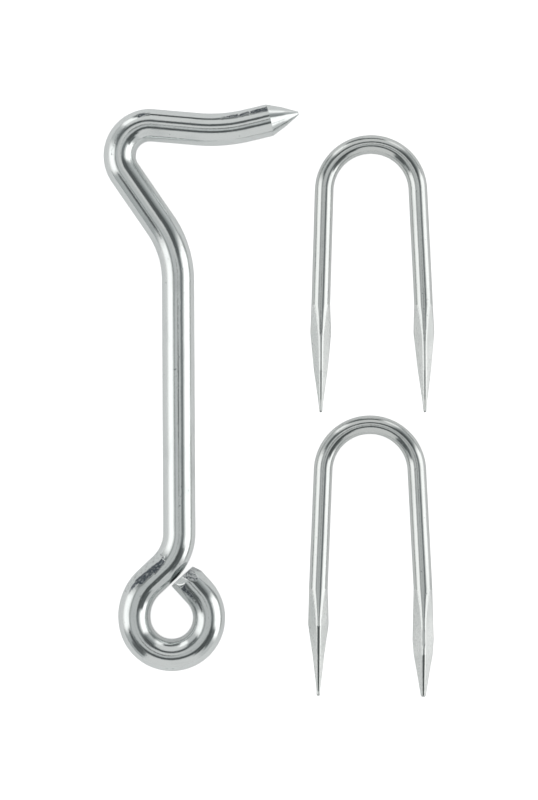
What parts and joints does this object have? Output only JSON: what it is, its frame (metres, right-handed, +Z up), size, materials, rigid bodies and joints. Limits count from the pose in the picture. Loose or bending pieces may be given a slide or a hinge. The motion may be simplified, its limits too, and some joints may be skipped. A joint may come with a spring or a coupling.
{
  "type": "wire gate hook with staples",
  "caption": "Bright zinc-plated wire gate hook, with a coned nose and a turned eye, and its two U-shaped pointed drive-in staples, laid out loose.",
  "frame": {"origin": "under the middle of the laid-out kit, on the surface that it lies on", "axes": "+X across the kit from the hook to the staples, +Y along the hook from its eye to its nose, +Z up from the surface"},
  "size_m": [0.0612, 0.1098, 0.006],
  "materials": {
    "hook_zinc": "bright zinc plate on drawn steel wire, glossy, with faint drawing lines and bending-tool marks",
    "staple_zinc": "bright zinc plate on drawn steel wire, glossy, slightly duller on the pinched points"
  },
  "bodies": {
    "pivot_staple": {"pivot_staple": "staple_zinc"},
    "gate_hook": {"gate_hook": "hook_zinc"},
    "catch_staple": {"catch_staple": "staple_zinc"}
  },
  "joints": [
    {"name": "hook_swing", "type": "hinge", "parent": "pivot_staple", "child": "gate_hook", "pos_m": [-0.01797, -0.04008, 0.003], "axis": [0, 0, 1], "range_deg": [0, 180]},
    {"name": "catch_staple_lift", "type": "slide", "parent": "pivot_staple", "child": "catch_staple", "axis": [0, 0, 1], "range_m": [0, 0.06]}
  ]
}
